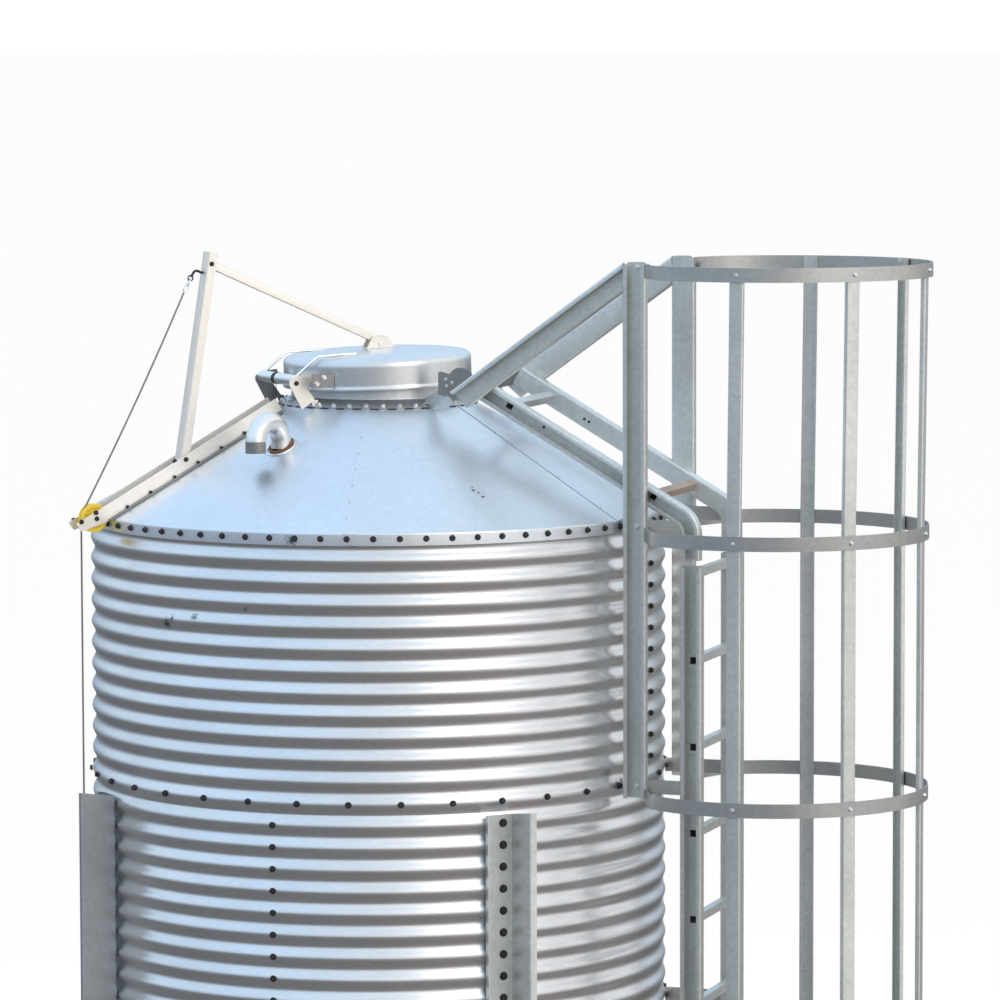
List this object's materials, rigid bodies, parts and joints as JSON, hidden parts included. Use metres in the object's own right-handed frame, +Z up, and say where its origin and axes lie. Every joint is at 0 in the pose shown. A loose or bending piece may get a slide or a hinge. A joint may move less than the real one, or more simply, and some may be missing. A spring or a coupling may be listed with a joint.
{
  "type": "grain silo",
  "caption": "Corrugated steel hopper silo on legs, with a panelled cone roof, a hinged fill lid opened by a rope linkage, and a caged side ladder",
  "frame": {"origin": "on the ground, in the middle of the bounding box's base; the tank's axis stands 0.34 m towards -X of it", "axes": "+Z up; the rope linkage reaches towards -X and a little to the front, the caged ladder towards +X and a little to the front (-Y)"},
  "size_m": [2.7619, 2.0718, 4.6064],
  "materials": {
    "galvanised": "bright galvanised sheet with a soft spangle",
    "weathered": "dull grey galvanised plate",
    "cream_zinc": "pale warm zinc plating",
    "yellow_plastic": "moulded yellow plastic",
    "wire_rope": "twisted steel wire",
    "bolt_steel": "dark plated bolts and small fittings"
  },
  "bodies": {
    "silo": {"upper_wall_1": "galvanised", "upper_wall_2": "galvanised", "lower_wall_1": "galvanised", "lower_wall_2": "galvanised", "hopper_1": "galvanised", "hopper_2": "galvanised", "outlet_boot": "galvanised", "roof_panel_1": "galvanised", "roof_panel_2": "galvanised", "roof_panel_3": "galvanised", "roof_panel_4": "galvanised", "roof_panel_5": "galvanised", "roof_panel_6": "galvanised", "hatch_collar": "galvanised", "vent_pipe": "cream_zinc", "leg_1": "galvanised", "leg_2": "galvanised", "leg_3": "galvanised", "leg_4": "galvanised", "hinge_plate_near": "cream_zinc", "hinge_plate_far": "cream_zinc", "roof_arm_near": "cream_zinc", "roof_arm_far": "cream_zinc", "strut_pin": "bolt_steel", "pulley_axle": "bolt_steel", "side_ladder": "galvanised", "roof_ladder": "galvanised", "post_near": "galvanised", "post_far": "galvanised", "handrail_near": "galvanised", "handrail_far": "galvanised", "gusset_near": "weathered", "gusset_far": "weathered", "cage_hoop_1": "galvanised", "cage_hoop_2": "galvanised", "cage_hoop_3": "galvanised", "cage_hoop_4": "galvanised", "cage_bar_1": "galvanised", "cage_bar_2": "galvanised", "cage_bar_3": "galvanised", "cage_bar_4": "galvanised", "cage_bar_5": "galvanised", "rope_tail": "wire_rope", "rope_cleat": "bolt_steel"},
    "hatch_lid": {"lid": "galvanised", "lid_hinge_tube": "cream_zinc", "lid_clevis": "cream_zinc"},
    "opener_strut": {"strut": "cream_zinc"},
    "opener_link": {"link": "cream_zinc"},
    "rope_lead": {"snap_hook": "bolt_steel", "rope_run": "wire_rope"},
    "pulley_wheel": {"pulley": "yellow_plastic"}
  },
  "joints": [
    {"name": "lid_hinge", "type": "hinge", "parent": "silo", "child": "hatch_lid", "pos_m": [-0.6576, -0.1391, 4.2], "axis": [0.4067, -0.9135, 0], "range_deg": [0, 60]},
    {"name": "strut_pivot", "type": "hinge", "parent": "silo", "child": "opener_strut", "pos_m": [-0.9618, -0.2745, 3.957], "axis": [0.4067, -0.9135, 0], "range_deg": [0, 30.5]},
    {"name": "link_pivot", "type": "hinge", "parent": "opener_strut", "child": "opener_link", "pos_m": [-0.8741, -0.2355, 4.568], "axis": [0.4067, -0.9135, 0], "range_deg": [-4.8, 0]},
    {"name": "rope_swing", "type": "hinge", "parent": "opener_strut", "child": "rope_lead", "pos_m": [-0.9308, -0.2607, 4.524], "axis": [0.4067, -0.9135, 0], "range_deg": [-9.8, 0], "deforming": ["rope_run"]},
    {"name": "pulley_spin", "type": "hinge", "parent": "silo", "child": "pulley_wheel", "pos_m": [-1.2359, -0.3966, 3.783], "axis": [0.4067, -0.9135, 0], "continuous": true}
  ],
  "couplings": [
    {"joint": "strut_pivot", "follows": "lid_hinge", "ratio": 0.5064},
    {"joint": "link_pivot", "follows": "lid_hinge", "ratio": -0.08},
    {"joint": "rope_swing", "follows": "lid_hinge", "ratio": -0.1617}
  ]
}
